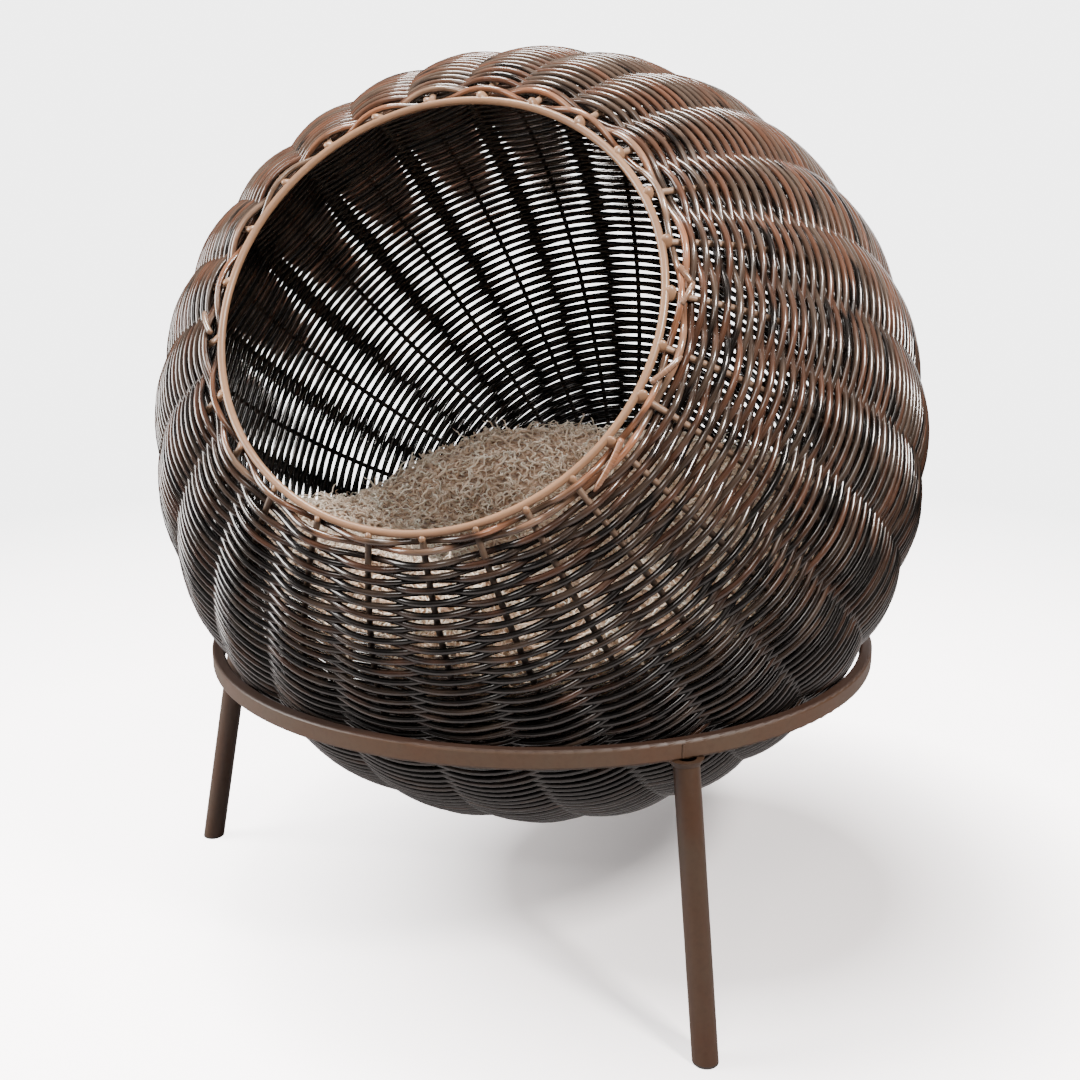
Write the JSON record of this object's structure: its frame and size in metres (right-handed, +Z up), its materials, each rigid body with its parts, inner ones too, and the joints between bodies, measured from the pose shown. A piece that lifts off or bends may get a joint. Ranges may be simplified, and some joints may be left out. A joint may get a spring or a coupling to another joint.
{
  "type": "wicker pet bed basket",
  "caption": "Ball-shaped wicker pet bed with a tilted round mouth and a shaggy cushion, resting in a ring stand on splayed legs.",
  "frame": {"origin": "on the floor, under the centre of the ball", "axes": "+Z up; the mouth of the basket faces -Y and tilts upwards"},
  "size_m": [0.5063, 0.4997, 0.558],
  "materials": {
    "wicker": "mottled brown and grey-brown round strand, satin gloss",
    "border_wicker": "paler pinkish tan round strand, satin gloss",
    "rib_wire": "tan-brown painted steel wire",
    "rim_wire": "tan painted steel rod, satin",
    "stand_metal": "satin brown powder coat",
    "foot_plug": "dark matt end plug",
    "fur": "curly long-pile fabric in taupe with cream tips",
    "base_cloth": "plain woven taupe cloth",
    "filling": "loose white fibre"
  },
  "bodies": {
    "stand": {"stand_ring": "stand_metal", "ring_seam_weld": "stand_metal", "leg_1": "stand_metal", "leg_2": "stand_metal", "leg_3": "stand_metal", "leg_weld_1": "stand_metal", "leg_weld_2": "stand_metal", "leg_weld_3": "stand_metal", "foot_plug_1": "foot_plug", "foot_plug_2": "foot_plug", "foot_plug_3": "foot_plug"},
    "basket": {"rim_rod": "rim_wire", "rib_end_welds": "rim_wire", "rear_hub_plate": "rib_wire", "rib_01": "rib_wire", "rib_02": "rib_wire", "rib_03": "rib_wire", "rib_04": "rib_wire", "rib_05": "rib_wire", "rib_06": "rib_wire", "rib_07": "rib_wire", "rib_08": "rib_wire", "rib_09": "rib_wire", "rib_10": "rib_wire", "rib_11": "rib_wire", "rib_12": "rib_wire", "rib_13": "rib_wire", "rib_14": "rib_wire", "rib_15": "rib_wire", "rib_16": "rib_wire", "rib_17": "rib_wire", "rib_18": "rib_wire", "rib_19": "rib_wire", "rib_20": "rib_wire", "rib_21": "rib_wire", "rib_22": "rib_wire", "rib_23": "rib_wire", "rib_24": "rib_wire", "rib_25": "rib_wire", "rib_26": "rib_wire", "outer_weave_1": "wicker", "outer_weave_2": "wicker", "outer_weave_3": "wicker", "outer_weave_4": "wicker", "outer_weave_5": "wicker", "inner_weave_1": "wicker", "inner_weave_2": "wicker", "inner_weave_3": "wicker", "inner_weave_4": "wicker", "inner_weave_5": "wicker", "border_strand_1": "border_wicker", "border_strand_2": "border_wicker"},
    "cushion": {"cushion_top_panel": "fur", "cushion_base_panel": "base_cloth", "cushion_filling": "filling"}
  },
  "joints": [
    {"name": "basket_lift", "type": "slide", "parent": "stand", "child": "basket", "axis": [0, 0, 1], "range_m": [0, 0.3]},
    {"name": "cushion_lift", "type": "slide", "parent": "basket", "child": "cushion", "axis": [0, 0, 1], "range_m": [0, 0.09]}
  ]
}
